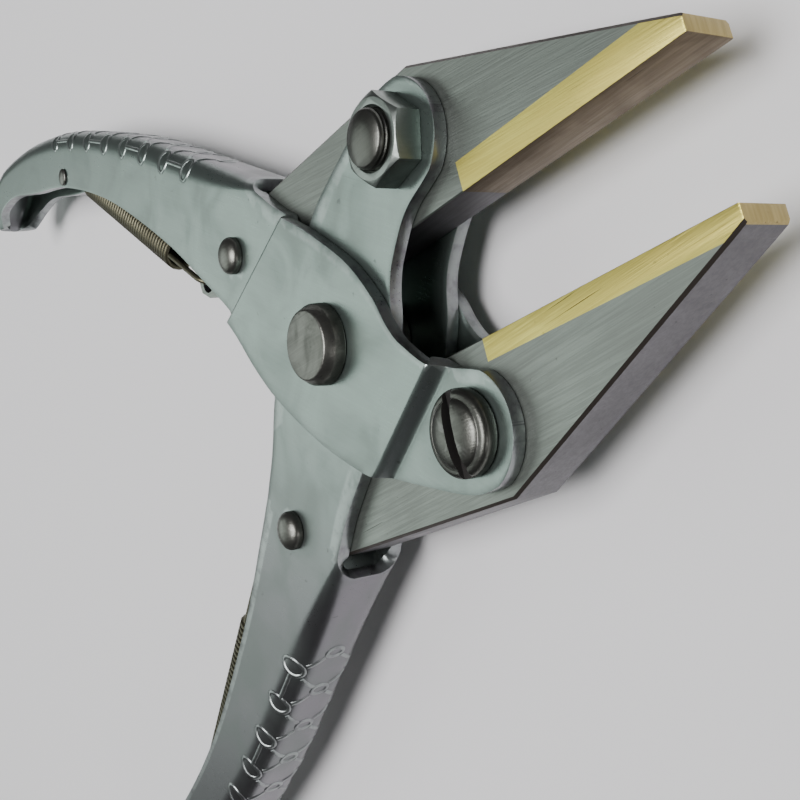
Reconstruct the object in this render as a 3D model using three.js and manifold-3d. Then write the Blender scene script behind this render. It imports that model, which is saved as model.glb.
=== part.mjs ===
// Parallel-action flat-nose pliers with brass-lined jaws.
// Two pressed-steel channel handles cross at a centre rivet. Each jaw hangs on a screw at the front ear of
// one handle and slides, by a slot in its tail, on a guide pin of the other handle, so the grips stay parallel.
// Millimetres. +X runs to the jaw tips, +Y to the upper jaw, +Z along the rivet. The pliers lie flat, stored open.
import * as THREE from 'three';
import { mergeVertices } from 'three/addons/utils/BufferGeometryUtils.js';
import Module from 'manifold-3d';

const wasm = await Module();
wasm.setup();

// ---------------------------------------------------------------- driving dimensions
const clearance = 0.1;                       // between faces that slide on each other
const seat = 0.05;                           // between a head and the cheek under it
const sheet = 1.38;                          // thickness of the handles' pressed sheet
const jawThickness = 5.24;
const innerFace = jawThickness / 2 + clearance;              // inside face of a cheek at the inner level
const innerLevel = innerFace + sheet;                        // outside face there
const outerFace = innerLevel + clearance;                    // the outer handle steps over the inner one
const outerLevel = outerFace + sheet;
const frontPivot = new THREE.Vector2(16.9, 13.88);           // jaw pivots, at +y on the upper side
const guidePin = new THREE.Vector2(-16.39, 16.11);           // pins in the tail slots, pliers open
const springAnchor = new THREE.Vector2(-61.2, 47.0);         // pin at the rear end of a return spring
const closingTurn = THREE.MathUtils.degToRad(19.0);          // turn of each handle, from open to closed

const earRadius = 5.73;
const earTip = THREE.MathUtils.degToRad(-8);                 // direction in which the front ear points
const earSweep = THREE.MathUtils.degToRad(107);              // half the ear's round end
const bend = { reach: 3.0, height: 2.4 };                    // outside radii of the bend between cheek and web
const stepRun = 1.0;                                         // width of the slope between the two levels

const jaw = {
  tip: 31.62, grip: -7.52, tipHeight: 1.49, cornerX: 1.94, back: 6.61,
  tailBack: 5.9, tailDrop: [-26, -29], tailFront: -3.3, heel: [-12, -16],
  lugStart: -39.5, lugThickness: 2.2, lugEnd: -48.4, hole: 2.85,
};
const upperBrass = { start: 5.42, depth: 2.74 };
const lowerBrass = { start: 3.05, depth: 2.08 };
const brassJoint = 0.04;                                     // brazed joint between brass and steel
const hookEye = new THREE.Vector2(-46.2, 3.9);               // hole for the spring hook, from the jaw pivot
const hookEyeRadius = 1.35;

const rivet = { shank: 2.92, hole: 3.0, base: 4.18, crown: 3.48, rise: 2.25 };
const bushRadius = 3.6;
const pin = { shoulder: 1.9, shank: 1.48, hole: 1.55, head: 2.14, rise: 1.5 };
const screw = { shank: 2.78, head: 4.0, rise: 2.2, slotWidth: 1.2, slotDepth: 1.1, slotTurn: -88, end: 4.0 };
const nut = { corner: 4.38, rise: 2.8, bore: 2.83, chamfer: 0.5, turn: 41 };
const anchor = { shank: 0.75, hole: 0.85, head: 1.25, rise: 0.5 };
const coil = { outer: 2.45, inner: 1.75, start: 3.0, end: 33.7 };
const hookWire = { radius: 0.4, loop: 1.9 };

const bodyLift = outerLevel + rivet.rise + seat;             // puts the rivet's lower face at z = 0

// ---------------------------------------------------------------- outlines, upper handle
// Outside line of the web, from its front edge back to the curled end.
const webLine = [
  [-9.5, 22.4], [-15.9, 26.9], [-26.9, 34.6], [-39.2, 42.9], [-56.3, 52.2], [-71.2, 58.0],
  [-84, 61.0], [-91.6, 61.2], [-97.2, 58.6], [-99.4, 54.5],
];
// Open edge of the cheeks, paired with the web line.
const openEdge = [
  [-20.5, 11.4], [-24.3, 15.7], [-33, 25], [-47.2, 37], [-61.8, 45.6], [-74, 50.2],
  [-84, 54.0], [-91, 54.6], [-95.2, 53.2],
];
const plateFront = [[12.2, -4.2], [10.7, -1.7], [9.6, 1.4], [6.8, 6.0], [2.0, 10.9], [-0.6, 13.2], [-3.4, 15.4], [-5.8, 17.4]];
const plateRoot = [[-7.7, 19.4], [-8.9, 20.5], [-11.3, 20.9], [-13.2, 22.0], [-21.6, 12.9], [-20.5, 11.4]];   // inside the channel's mouth
const plateRear = [[-17.4, 7.1], [-14.6, 2.1], [-11.3, -2.5], [-5.4, -8.5], [0.3, -12.9], [4.1, -15.0]];
const webBow = 0.009;                                        // share of the web line the front edge is hollowed by
const mouthFlare = new THREE.Vector3(2.8, 0.35, 0);          // the bends run forward to meet the cheeks' front edge
const frontStep = { from: [3.1, -14.5], to: [15.0, -7.1] };  // fold lines where the outer handle leaves
const rearStep = { from: [-3.2, 14.7], to: [-12.6, 11.2] };  // its outer level

// ---------------------------------------------------------------- materials
const finish = (colour, roughness, metalness) => new THREE.MeshStandardMaterial({ color: colour, roughness, metalness });
const plated = finish(0x8c9b94, 0.38, 0.85);
const jawSteel = finish(0x737a73, 0.42, 0.9);
const brass = finish(0xd2c37a, 0.35, 0.95);
const fastener = finish(0x6f706c, 0.4, 0.9);
const springSteel = finish(0x5f5d4a, 0.45, 0.85);

// ---------------------------------------------------------------- solids
const circleHole = (x, y, r) => new THREE.Path().absarc(x, y, r, 0, Math.PI * 2, true);

// One welded, outward-facing body: shared vertices merged, pole slivers dropped.
function weld(geometry) {
  const bare = geometry.clone();
  bare.deleteAttribute('normal');
  bare.deleteAttribute('uv');
  const merged = mergeVertices(bare, 1e-5);
  const p = merged.attributes.position.array;
  const corners = merged.index.array;
  const kept = [];
  let volume = 0;
  for (let i = 0; i < corners.length; i += 3) {
    const [a, b, c] = [corners[i], corners[i + 1], corners[i + 2]];
    if (a === b || b === c || c === a) continue;
    kept.push(a, b, c);
    const [u, v, w] = [a, b, c].map((n) => new THREE.Vector3(p[3 * n], p[3 * n + 1], p[3 * n + 2]));
    volume += u.dot(v.cross(w));
  }
  if (volume < 0) kept.reverse();
  merged.setIndex(kept);
  return merged;
}

function toSolid(geometry) {
  const g = weld(geometry);
  return new wasm.Manifold(new wasm.Mesh({
    numProp: 3,
    vertProperties: new Float32Array(g.attributes.position.array),
    triVerts: new Uint32Array(g.index.array),
  }));
}

function toGeometry(solid) {
  const m = solid.getMesh();
  const g = new THREE.BufferGeometry();
  g.setAttribute('position', new THREE.BufferAttribute(new Float32Array(m.vertProperties), 3));
  g.setIndex(new THREE.BufferAttribute(new Uint32Array(m.triVerts), 1));
  return g;
}

function slab(shape, low, high, curveSegments = 3) {
  const g = new THREE.ExtrudeGeometry(shape, { depth: high - low, bevelEnabled: false, curveSegments });
  return g.translate(0, 0, low);
}

const polygon = (points) => new THREE.Shape(points.map(([x, y]) => new THREE.Vector2(x, y)));

function lathe(profile, segments) {
  const g = new THREE.LatheGeometry(profile.map(([r, z]) => new THREE.Vector2(r, z)), segments);
  return g.rotateX(Math.PI / 2);
}

function rod(x, y, radius, segments) {
  return new THREE.CylinderGeometry(radius, radius, 4 * outerLevel, segments).rotateX(Math.PI / 2).translate(x, y, 0);
}

const flipZ = (solid) => toSolid(toGeometry(solid).scale(1, 1, -1));

// ---------------------------------------------------------------- handles
// The channel: cheeks, bends and web as one folded sheet, skinned station by station.
function channel() {
  const curve = (points) => new THREE.CatmullRomCurve3(points.map(([x, y]) => new THREE.Vector3(x, y, 0)), false, 'centripetal');
  const web = curve(webLine);
  const edge = curve(openEdge);
  const stations = 24;
  const bendSteps = 3;
  const flareStations = 3.84;
  const frontBow = [0, 0, 0.35, 0.8, 1];                     // the web's front edge is hollow across its width
  const rows = [];
  for (let i = 0; i <= stations; i++) {
    const t = i / stations;
    const b = edge.getPointAt(t);
    const narrow = 1 - 0.3 * Math.max(0, (t - 0.93) / 0.07) ** 2;
    const section = (wall) => {
      const half = innerLevel * narrow - wall;
      const line = [];
      for (let k = -1; k <= bendSteps; k++) {
        const bow = webBow * frontBow[k + 1] * Math.max(0, 1 - i / 3);
        const a = web.getPointAt(Math.min(1, t + bow));
        const inward = b.clone().sub(a).normalize();
        const angle = (Math.max(k, 0) / bendSteps) * Math.PI / 2;
        const deep = k < 0 ? null : wall + (bend.reach - wall) * (1 - Math.sin(angle));
        const p = k < 0 ? b.clone() : a.clone().addScaledVector(inward, deep);
        if (k >= 0) p.addScaledVector(mouthFlare, (1 - Math.sin(angle)) * Math.max(0, 1 - i / flareStations) ** 2);
        p.z = half - (bend.height - wall) * (1 - Math.cos(angle));
        line.push(p);
      }
      return [...line, ...line.slice().reverse().map((p) => new THREE.Vector3(p.x, p.y, -p.z))];
    };
    rows.push([section(0), section(sheet)]);
  }
  const columns = rows[0][0].length;
  const positions = [];
  const index = [];
  const at = (i, j, skin) => (i * columns + j) * 2 + skin;
  rows.forEach(([outside, inside]) => outside.forEach((p, j) => positions.push(...p.toArray(), ...inside[j].toArray())));
  const quad = (a, b, c, d) => index.push(a, b, c, a, c, d);
  for (let i = 0; i < stations; i++) {
    for (let j = 0; j < columns - 1; j++) {
      quad(at(i, j, 0), at(i + 1, j, 0), at(i + 1, j + 1, 0), at(i, j + 1, 0));
      quad(at(i, j, 1), at(i, j + 1, 1), at(i + 1, j + 1, 1), at(i + 1, j, 1));
    }
    quad(at(i, 0, 0), at(i, 0, 1), at(i + 1, 0, 1), at(i + 1, 0, 0));
    const last = columns - 1;
    quad(at(i, last, 0), at(i + 1, last, 0), at(i + 1, last, 1), at(i, last, 1));
  }
  for (let j = 0; j < columns - 1; j++) {
    quad(at(0, j, 0), at(0, j + 1, 0), at(0, j + 1, 1), at(0, j, 1));
    quad(at(stations, j, 0), at(stations, j, 1), at(stations, j + 1, 1), at(stations, j + 1, 0));
  }
  const g = new THREE.BufferGeometry();
  g.setAttribute('position', new THREE.Float32BufferAttribute(positions, 3));
  g.setIndex(index);
  return g;
}

// Flat outline of one cheek from the ear back into the channel, ear at the lower front.
function plateOutline() {
  const ear = new THREE.Vector2(frontPivot.x, -frontPivot.y);
  const shape = new THREE.Shape();
  shape.absarc(ear.x, ear.y, earRadius, earTip - earSweep, earTip + earSweep, false);
  shape.splineThru(plateFront.map(([x, y]) => new THREE.Vector2(x, y)));
  plateRoot.forEach(([x, y]) => shape.lineTo(x, y));
  shape.splineThru(plateRear.map(([x, y]) => new THREE.Vector2(x, y)));
  return shape;
}

// Everything under a surface that lies at `high` and drops by one level to the right of a fold line.
function underFold(step, high) {
  const from = new THREE.Vector2(...step.from);
  const along = new THREE.Vector2(...step.to).sub(from).normalize();
  const past = new THREE.Vector2(along.y, -along.x);
  const drop = outerLevel - innerLevel;
  const far = 90;
  const profile = polygon([[-far, -1], [far, -1], [far, high - drop], [stepRun, high - drop], [0, high], [-far, high]]);
  const g = new THREE.ExtrudeGeometry(profile, { depth: 2 * far, bevelEnabled: false });
  g.translate(0, 0, -far);
  const lengthwise = new THREE.Vector3().crossVectors(new THREE.Vector3(past.x, past.y, 0), new THREE.Vector3(0, 0, 1));
  g.applyMatrix4(new THREE.Matrix4().makeBasis(new THREE.Vector3(past.x, past.y, 0), new THREE.Vector3(0, 0, 1), lengthwise));
  return toSolid(g.translate(from.x, from.y, 0));
}

function drilled(solid) {
  return solid
    .subtract(toSolid(rod(0, 0, rivet.hole, 32)))
    .subtract(toSolid(rod(frontPivot.x, -frontPivot.y, jaw.hole, 32)))
    .subtract(toSolid(rod(guidePin.x, guidePin.y, pin.hole, 24)))
    .subtract(toSolid(rod(springAnchor.x, springAnchor.y, anchor.hole, 16)));
}

function innerHandle() {
  const cheek = toSolid(slab(plateOutline(), innerFace, innerLevel));
  return drilled(toSolid(channel()).add(cheek).add(flipZ(cheek)));
}

function outerHandle() {
  const outside = underFold(frontStep, outerLevel).intersect(underFold(rearStep, outerLevel));
  const inside = underFold(frontStep, outerFace).intersect(underFold(rearStep, outerFace));
  const cheek = toSolid(slab(plateOutline(), 0.5, 2 * outerLevel)).intersect(outside).subtract(inside);
  return drilled(toSolid(channel()).add(cheek).add(flipZ(cheek)));
}

// ---------------------------------------------------------------- jaws, drawn from the pivot, upper side
const backSlope = (jaw.grip + jaw.tipHeight - jaw.back) / (jaw.tip - jaw.cornerX);

function jawBody(strip) {
  const stripTop = jaw.grip + strip.depth;
  const stripEnd = jaw.cornerX + (stripTop - jaw.back) / backSlope;
  const open = guidePin.clone().sub(frontPivot);
  const turned = (v, angle) => v.clone().rotateAround(new THREE.Vector2(), angle);
  const closed = turned(guidePin, closingTurn).sub(turned(frontPivot, -closingTurn));
  const slotY = (open.y + closed.y) / 2;
  const slotR = pin.shoulder + 1.4 * clearance;
  const outline = polygon([
    [strip.start, jaw.grip], [strip.start, stripTop + brassJoint], [stripEnd - brassJoint, stripTop + brassJoint],
    [jaw.cornerX, jaw.back], [jaw.tailDrop[0], jaw.back], [jaw.tailDrop[1], jaw.tailBack],
    [jaw.lugEnd + 1, jaw.tailBack], [jaw.lugEnd, 4.9], [jaw.lugEnd + 0.2, 3.2], [-46.5, 1.9], [-44.8, 1.4],
    [closed.x - 2.4, slotY - 1.9], [closed.x - 0.4, jaw.tailFront + 2.0], [-38.6, jaw.tailFront],
    [jaw.heel[1], jaw.tailFront], [jaw.heel[0], jaw.grip],
  ]);
  const slot = new THREE.Path();
  slot.absarc(open.x + clearance, slotY, slotR, Math.PI / 2, -Math.PI / 2, true);
  slot.absarc(closed.x - clearance, slotY, slotR, -Math.PI / 2, -1.5 * Math.PI, true);
  outline.holes.push(circleHole(0, 0, jaw.hole), slot, circleHole(hookEye.x, hookEye.y, hookEyeRadius));
  const half = jawThickness / 2;
  let solid = toSolid(slab(outline, -half, half, 12));
  const cheekCut = half - jaw.lugThickness / 2;
  for (const side of [-1, 1]) {
    const cut = new THREE.BoxGeometry(12, 14, cheekCut * 2);
    cut.translate(jaw.lugStart - 6, 1, side * (jaw.lugThickness / 2 + cheekCut));
    solid = solid.subtract(toSolid(cut));
  }
  return toGeometry(solid);
}

function brassStrip(strip) {
  const top = jaw.grip + strip.depth;
  const end = jaw.cornerX + (top - jaw.back) / backSlope;
  const outline = polygon([
    [strip.start + brassJoint, jaw.grip], [jaw.tip, jaw.grip], [jaw.tip, jaw.grip + jaw.tipHeight],
    [end, top], [strip.start + brassJoint, top],
  ]);
  return slab(outline, -jawThickness / 2, jawThickness / 2);
}

// ---------------------------------------------------------------- rivets, pins and screws
function centreRivet() {
  const top = outerLevel + seat;
  const up = [
    [rivet.shank, top], [rivet.base, top], [rivet.base - 0.12, top + 0.55 * rivet.rise], [rivet.crown, top + rivet.rise],
  ];
  const down = up.map(([r, z]) => [r, -z]).reverse();
  return lathe([[0, -top - rivet.rise], ...down, ...up, [0, top + rivet.rise]], 32);
}

function centreBush() {
  const half = jawThickness / 2 + 0.5 * clearance;
  return lathe([[rivet.hole, -half], [bushRadius, -half], [bushRadius, half], [rivet.hole, half], [rivet.hole, -half]], 32);
}

// A shouldered pin with a low dome each side; the shoulder keeps the cheeks apart.
function domedPin({ shoulder, shank, head, rise }, dome) {
  const top = innerLevel + seat;
  const up = [[shoulder, innerFace - seat], [shank, innerFace - seat], [shank, top], [head, top]];
  for (let k = 1; k <= dome; k++) {
    const angle = (k / dome) * Math.PI / 2;
    up.push([head * Math.cos(angle), top + rise * Math.sin(angle)]);
  }
  up[up.length - 1][0] = 0;
  return lathe([...up.map(([r, z]) => [r, -z]).reverse(), ...up], 16);
}

// Slotted screw: head below, plain end rounded above the nut.
function pivotScrew() {
  const under = -innerLevel - seat;
  const end = innerLevel + screw.end;
  const profile = [
    [0, under - screw.rise], [screw.head - 0.9, under - screw.rise], [screw.head - 0.1, under - 0.55 * screw.rise],
    [screw.head, under - 0.3 * screw.rise], [screw.head, under], [screw.shank, under],
    [screw.shank, end - 0.7], [screw.shank - 0.5, end - 0.2], [screw.shank - 1.6, end], [0, end],
  ];
  const slot = new THREE.BoxGeometry(2 * screw.head + 1, screw.slotWidth, 2 * screw.slotDepth);
  slot.rotateZ(THREE.MathUtils.degToRad(screw.slotTurn)).translate(0, 0, under - screw.rise);
  return toGeometry(toSolid(lathe(profile, 32)).subtract(toSolid(slot)));
}

function pivotNut() {
  const base = innerLevel + seat;
  const hexagon = new THREE.CylinderGeometry(nut.corner, nut.corner, nut.rise, 6).rotateX(Math.PI / 2);
  hexagon.rotateZ(THREE.MathUtils.degToRad(nut.turn)).translate(0, 0, base + nut.rise / 2);
  const flats = nut.corner * Math.cos(Math.PI / 6);
  const turned = lathe([
    [0, base - 1], [nut.corner + 1, base - 1], [nut.corner + 1, base + nut.rise - nut.chamfer - 0.55],
    [flats, base + nut.rise], [0, base + nut.rise],
  ], 36);
  const bore = rod(0, 0, nut.bore, 32);
  return toGeometry(toSolid(hexagon).intersect(toSolid(turned)).subtract(toSolid(bore)));
}

// ---------------------------------------------------------------- return springs
const eye = frontPivot.clone().add(hookEye);
const springAngle = Math.atan2(eye.y - springAnchor.y, eye.x - springAnchor.x);
const springReach = eye.distanceTo(springAnchor);

function springCoil() {
  const ring = lathe([
    [coil.inner, coil.start], [coil.outer, coil.start], [coil.outer, coil.end], [coil.inner, coil.end],
    [coil.inner, coil.start],
  ], 20);
  return ring.rotateY(Math.PI / 2);
}

// The drawn-out last turn: two legs either side of the jaw's lug, joined through its eye.
function springHook() {
  const bow = springReach - hookWire.loop + 0.3;
  const leg = (side) => [new THREE.Vector3(coil.end + 0.1, 0, side * hookWire.loop), new THREE.Vector3(bow, 0, side * hookWire.loop)];
  const [back, front] = leg(1);
  const points = [back, back.clone().lerp(front, 0.5)];
  for (let k = 0; k <= 8; k++) {
    const angle = Math.PI / 2 - (k / 8) * Math.PI;
    points.push(new THREE.Vector3(bow + hookWire.loop * Math.cos(angle), 0, hookWire.loop * Math.sin(angle)));
  }
  const [otherBack, otherFront] = leg(-1);
  points.push(otherBack.clone().lerp(otherFront, 0.5), otherBack);
  const route = new THREE.CatmullRomCurve3(points, false, 'centripetal');
  const wire = new THREE.Shape().absarc(0, 0, hookWire.radius, 0, Math.PI * 2, false);
  return new THREE.ExtrudeGeometry(wire, { steps: 16, curveSegments: 6, bevelEnabled: false, extrudePath: route });
}

// ---------------------------------------------------------------- the object
const pliers = new THREE.Group();
pliers.position.z = bodyLift;
const upperSide = new THREE.Group();
const lowerSide = new THREE.Group();
lowerSide.rotation.x = Math.PI;
pliers.add(upperSide, lowerSide);

function place(side, name, geometry, material, x = 0, y = 0, turn = 0) {
  const g = weld(geometry);
  g.computeVertexNormals();
  const mesh = new THREE.Mesh(g, material);
  mesh.name = name;
  mesh.position.set(x, y, 0);
  mesh.rotation.z = turn;
  side.add(mesh);
}

place(upperSide, 'centre_rivet', centreRivet(), fastener);
place(upperSide, 'centre_bush', centreBush(), fastener);

for (const [side, jawName, handleName, strip] of [
  [upperSide, 'upper', 'outer', upperBrass],
  [lowerSide, 'lower', 'inner', lowerBrass],
]) {
  const handle = handleName === 'outer' ? outerHandle() : innerHandle();
  const { x, y } = frontPivot;
  place(side, `${handleName}_handle`, toGeometry(handle), plated);
  place(side, `${handleName}_guide_pin`, domedPin(pin, 3), fastener, guidePin.x, guidePin.y);
  place(side, `${handleName}_spring_pin`, domedPin({ ...anchor, shoulder: anchor.shank + 0.2 }, 2), fastener, springAnchor.x, springAnchor.y);
  place(side, `${handleName}_spring_coil`, springCoil(), springSteel, springAnchor.x, springAnchor.y, springAngle);
  place(side, `${handleName}_spring_hook`, springHook(), springSteel, springAnchor.x, springAnchor.y, springAngle);
  place(side, `${jawName}_jaw`, jawBody(strip), jawSteel, x, y);
  place(side, `${jawName}_jaw_brass`, brassStrip(strip), brass, x, y);
  place(side, `${jawName}_pivot_screw`, pivotScrew(), fastener, x, y);
  place(side, `${jawName}_pivot_nut`, pivotNut(), fastener, x, y);
}

export default pliers;
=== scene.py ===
# %% [markdown]
# Parallel-action flat-nose pliers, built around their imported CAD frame. Two pressed channel handles cross
# at a centre rivet, and each carries one brass-lined jaw on a screw. The CAD fixes every size, place and
# joint. This lesson remodels each piece in finer mesh work, rides it on the same body, and gives it the
# finish that the real metal has.

# %% Load the frame
import math

import bmesh
import bpy
from mathutils import Matrix, Vector


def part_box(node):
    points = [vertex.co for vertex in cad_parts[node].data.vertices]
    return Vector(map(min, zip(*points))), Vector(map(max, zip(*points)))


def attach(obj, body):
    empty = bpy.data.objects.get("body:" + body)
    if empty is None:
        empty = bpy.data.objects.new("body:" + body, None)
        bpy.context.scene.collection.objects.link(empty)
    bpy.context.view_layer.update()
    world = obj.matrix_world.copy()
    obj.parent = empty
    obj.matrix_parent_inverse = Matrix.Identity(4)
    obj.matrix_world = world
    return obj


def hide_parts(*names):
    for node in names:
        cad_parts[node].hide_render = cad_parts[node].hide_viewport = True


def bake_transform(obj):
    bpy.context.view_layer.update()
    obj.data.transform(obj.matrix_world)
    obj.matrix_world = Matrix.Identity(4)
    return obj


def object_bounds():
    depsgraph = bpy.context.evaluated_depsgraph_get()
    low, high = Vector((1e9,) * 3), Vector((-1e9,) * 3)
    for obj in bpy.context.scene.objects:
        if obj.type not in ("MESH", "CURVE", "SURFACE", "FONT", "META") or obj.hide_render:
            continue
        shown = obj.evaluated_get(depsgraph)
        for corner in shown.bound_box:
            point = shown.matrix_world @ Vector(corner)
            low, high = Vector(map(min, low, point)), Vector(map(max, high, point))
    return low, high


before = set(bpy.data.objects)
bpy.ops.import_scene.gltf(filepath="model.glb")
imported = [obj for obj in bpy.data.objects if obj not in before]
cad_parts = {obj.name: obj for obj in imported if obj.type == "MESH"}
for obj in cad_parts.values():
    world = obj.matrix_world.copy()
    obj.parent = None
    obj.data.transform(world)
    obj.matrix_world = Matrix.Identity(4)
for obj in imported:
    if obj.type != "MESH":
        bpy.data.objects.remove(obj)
cad_box = [list(corner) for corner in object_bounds()]

# %% [markdown]
# The pieces are drawn in millimetres about the rivet, with the middle of the jaws at height zero. One
# matrix then takes a finished mesh to the frame's metres, so no object ever carries a scale or a turn of
# its own. The lower half of the tool is the upper half turned half a turn about the line of the tips.

# %% Shared sizes
MM = 0.001
rivet_low, rivet_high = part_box("centre_rivet")
jaw_low, jaw_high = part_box("upper_jaw")
MID = (rivet_low[2] + rivet_high[2]) / 2 / MM  # height of the jaws' middle in the frame
JAW_HALF = (jaw_high[2] - jaw_low[2]) / 2 / MM
SHEET = 1.38
GAP = 0.1  # play between one layer and the next
INNER_LEVEL = JAW_HALF + GAP + SHEET  # outside of the inner handle's cheeks
OUTER_LEVEL = INNER_LEVEL + GAP + SHEET
PIVOT = Vector((16.9, 13.88, 0))  # the jaw's screw
GUIDE = Vector((-16.39, 16.11, 0))  # the pin in the jaw's slot
ANCHOR = Vector((-61.2, 47.0, 0))  # the pin at the back end of the spring
TO_FRAME = Matrix.Translation((0, 0, MID * MM)) @ Matrix.Scale(MM, 4)
LOWER = Matrix.Rotation(math.pi, 4, "X")
UPPER = Matrix.Identity(4)
print(f"mid height {MID:.2f} mm, outer level {OUTER_LEVEL:.2f} mm")

# %% [markdown]
# A bmesh is a workbench: operators shape it, and only the finished result becomes an object. Every piece
# could be built as an object and edited there, but then each one would need its own clean-up. One helper
# merges doubles and turns the faces outwards, unless a piece asks it not to, and moves every mesh into the
# frame.

# %% From a bmesh to an object
MERGE = 1e-4  # millimetres below which two vertices are one


def piece(bm, name, side=UPPER, clean=True):
    if clean:
        bmesh.ops.remove_doubles(bm, verts=bm.verts, dist=MERGE)
        bmesh.ops.recalc_face_normals(bm, faces=bm.faces)
    bmesh.ops.transform(bm, matrix=TO_FRAME @ side, verts=bm.verts)
    mesh = bpy.data.meshes.new(name)
    bm.to_mesh(mesh)
    bm.free()
    obj = bpy.data.objects.new(name, mesh)
    bpy.context.scene.collection.objects.link(obj)
    return obj


print(f"vertices merge within {MERGE} mm")

# %% [markdown]
# Pressed, milled and turned metal has no perfectly sharp edge. Each edge could be bevelled by hand, but a
# Bevel modifier limited by angle rounds them all at once and keeps the modelling mesh simple. A hole is a
# Boolean cut, as a drill makes the real one. Modifiers are applied straight away, so the mesh holds the
# final shape.

# %% Rounded edges and cuts
def soften(obj, width, segments=2, angle=40):
    """Rounds the sharp edges of a piece by a small radius, in millimetres."""
    bevel = obj.modifiers.new("edges", "BEVEL")
    bevel.width = width * MM
    bevel.segments = segments
    bevel.limit_method = "ANGLE"
    bevel.angle_limit = math.radians(angle)
    bevel.harden_normals = False
    return obj


def apply_all(obj):
    """Makes the modifiers' result the mesh itself."""
    graph = bpy.context.evaluated_depsgraph_get()
    mesh = bpy.data.meshes.new_from_object(obj.evaluated_get(graph))
    obj.modifiers.clear()
    obj.data = mesh
    return obj


def cut(obj, *cutters, operation="DIFFERENCE"):
    """Takes each cutter's shape out of obj, or keeps only what they share."""
    for cutter in cutters:
        boolean = obj.modifiers.new("cut", "BOOLEAN")
        boolean.operation = operation
        boolean.solver = "EXACT"
        boolean.object = cutter
    apply_all(obj)
    for cutter in cutters:
        bpy.data.objects.remove(cutter)
    return obj


print("edges are rounded from 40 degrees up, unless a piece says otherwise")

# %% [markdown]
# A piece is finished when it is shaded, has a material and rides on its body. Smooth shading with the sharp
# edges kept by angle shows rounds as rounds and flats as flats, without more faces. Where one piece carries
# two finishes, as a milled edge beside a ground side, the faces are picked by the way they face; on the jaws
# most of these second finishes are painted shade and reflection on faces turned from the light.

# %% Shading, finish and body
def settle(obj, body, slot, material, *nodes, smooth=35):
    """Smooth shading with crisp corners, a finish, a body to ride on, and the CAD nodes it stands for."""
    obj.data.shade_smooth()
    obj.data.set_sharp_from_angle(angle=math.radians(smooth))
    obj.data.materials.clear()
    obj.data.materials.append(material)
    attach(obj, body)
    if nodes:
        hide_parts(*nodes)
    print(f"{obj.name}: {len(obj.data.polygons)} faces on {body}")
    return obj


def repaint(obj, material, side, chosen):
    """Gives another finish to the faces for which chosen(normal) is true, seen from the upper side."""
    obj.data.materials.append(material)
    back = side.inverted().to_3x3()
    for face in obj.data.polygons:
        if chosen(back @ face.normal):
            face.material_index = len(obj.data.materials) - 1


# %% [markdown]
# Metal finishes first, because every piece needs one. Three effects come back in most of them: fine
# scratches left by grinding, cloudy stains in the plating, and rubbed edges, whose bright bare metal is also
# a painted highlight and which bring painted shade into the inner corners. Each is a node group with named
# inputs, so one idea is tuned once and placed in every material at its own scale.

# %% Adding and linking nodes
def link(tree, out, into):
    tree.links.new(out, into)


def add(tree, kind, **values):
    node = tree.nodes.new(kind)
    for key, value in values.items():
        setattr(node, key, value)
    return node


def new_group(name, inputs, outputs):
    """An empty shader group; inputs are (name, socket type, default) and outputs are names of values."""
    group = bpy.data.node_groups.new(name, "ShaderNodeTree")
    for label, kind, default in inputs:
        socket = group.interface.new_socket(name=label, in_out="INPUT", socket_type=kind)
        if default is not None:
            socket.default_value = default
    for label in outputs:
        group.interface.new_socket(name=label, in_out="OUTPUT", socket_type="NodeSocketFloat")
    return group, group.nodes.new("NodeGroupInput"), group.nodes.new("NodeGroupOutput")


def math_node(tree, operation, a, b=None, clamp=False):
    node = add(tree, "ShaderNodeMath", operation=operation, use_clamp=clamp)
    for k, value in enumerate((a, b)):
        if value is None:
            continue
        if isinstance(value, (int, float)):
            node.inputs[k].default_value = value
        else:
            link(tree, value, node.inputs[k])
    return node.outputs[0]


def scaled(tree, value, factor):
    return math_node(tree, "MULTIPLY", value, factor)


print("shader groups so far:", len(bpy.data.node_groups))

# %% [markdown]
# Noise is the start of every worn look. On its own it is a soft grey cloud. A painted image could hold the
# wear instead, but it would need unwrapping and would blur up close. A ramp turns noise into a mask with
# clear edges, and squeezing its coordinates along one direction turns spots into streaks.

# %% Masks from noise
def ramp(tree, fac, low, high):
    """0 below low, 1 above high, smooth between."""
    node = add(tree, "ShaderNodeMapRange", interpolation_type="SMOOTHSTEP")
    node.inputs["From Min"].default_value = low
    node.inputs["From Max"].default_value = high
    link(tree, fac, node.inputs["Value"])
    return node.outputs["Result"]


def noise(tree, vector, scale, detail=3, roughness=0.55, distortion=0.0):
    """Noise of a fixed scale, or of the scale that a socket gives."""
    node = add(tree, "ShaderNodeTexNoise")
    link(tree, vector, node.inputs["Vector"])
    if isinstance(scale, (int, float)):
        node.inputs["Scale"].default_value = scale
    else:
        link(tree, scale, node.inputs["Scale"])
    node.inputs["Detail"].default_value = detail
    node.inputs["Roughness"].default_value = roughness
    node.inputs["Distortion"].default_value = distortion
    return node.outputs["Fac"]


def stretched(tree, vector, turn, factors):
    """Object coordinates turned about Z, then squeezed, so that noise becomes streaks."""
    node = add(tree, "ShaderNodeMapping")
    node.inputs["Rotation"].default_value = (0, 0, math.radians(turn))
    node.inputs["Scale"].default_value = factors
    link(tree, vector, node.inputs["Vector"])
    return node.outputs["Vector"]


print("masks run from 0 to 1")

# %% [markdown]
# The jaws were ground on a belt, which leaves fine parallel lines and a few deeper ones. One stretched
# noise looks too regular, so two are added for the fine lines. A third, cut by a high threshold, gives the
# deep ones, and Density says how many of them there are.

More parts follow.
